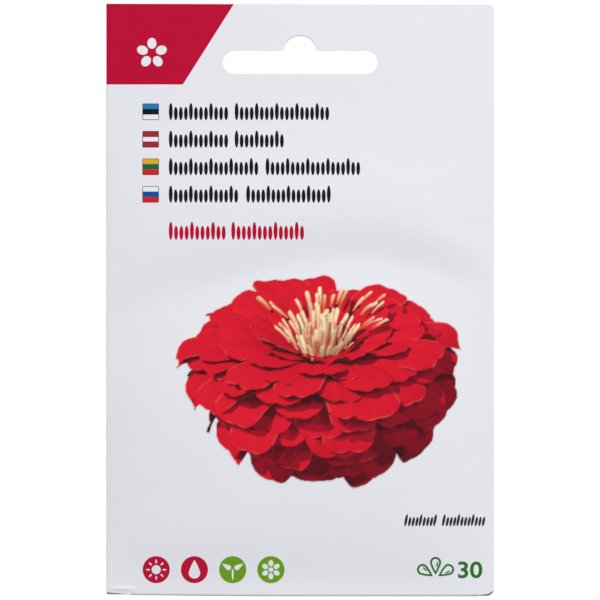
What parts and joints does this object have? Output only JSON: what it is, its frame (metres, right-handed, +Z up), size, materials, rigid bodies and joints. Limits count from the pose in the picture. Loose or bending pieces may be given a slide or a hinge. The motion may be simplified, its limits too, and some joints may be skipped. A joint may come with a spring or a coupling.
{
  "type": "seed packet",
  "caption": "Flat folded-paper seed packet with a glued back lap, bottom flap and header, a round-arched hanging slot, and loose flat seeds in the bottom of its pouch.",
  "frame": {"origin": "top of the hanging slot's arch, midway between the front and back layers of the header, on the packet's middle line", "axes": "+X along the packet's width, to the right seen from the front; +Y towards its back; +Z up, as it hangs"},
  "size_m": [0.08, 0.003, 0.122],
  "materials": {
    "paper": "satin",
    "crimson_ink": "satin",
    "black_ink": "satin",
    "green_ink": "satin",
    "picture_ink": "satin",
    "glue": "matte",
    "seed": "matte"
  },
  "bodies": {
    "root": {"wrapper": "paper", "header_glue": "glue", "lap_glue": "glue", "lap_glue_above_slot": "glue", "flap_glue": "glue", "seed_01": "seed", "seed_02": "seed", "seed_03": "seed", "seed_04": "seed", "seed_05": "seed", "seed_06": "seed", "seed_07": "seed", "seed_08": "seed", "seed_09": "seed", "seed_10": "seed", "seed_11": "seed", "seed_12": "seed", "seed_13": "seed", "seed_14": "seed", "seed_15": "seed", "seed_16": "seed", "seed_17": "seed", "seed_18": "seed", "seed_19": "seed", "seed_20": "seed", "seed_21": "seed", "seed_22": "seed", "seed_23": "seed", "seed_24": "seed", "seed_25": "seed", "seed_26": "seed", "seed_27": "seed", "seed_28": "seed", "seed_29": "seed", "seed_30": "seed"}
  },
  "joints": []
}
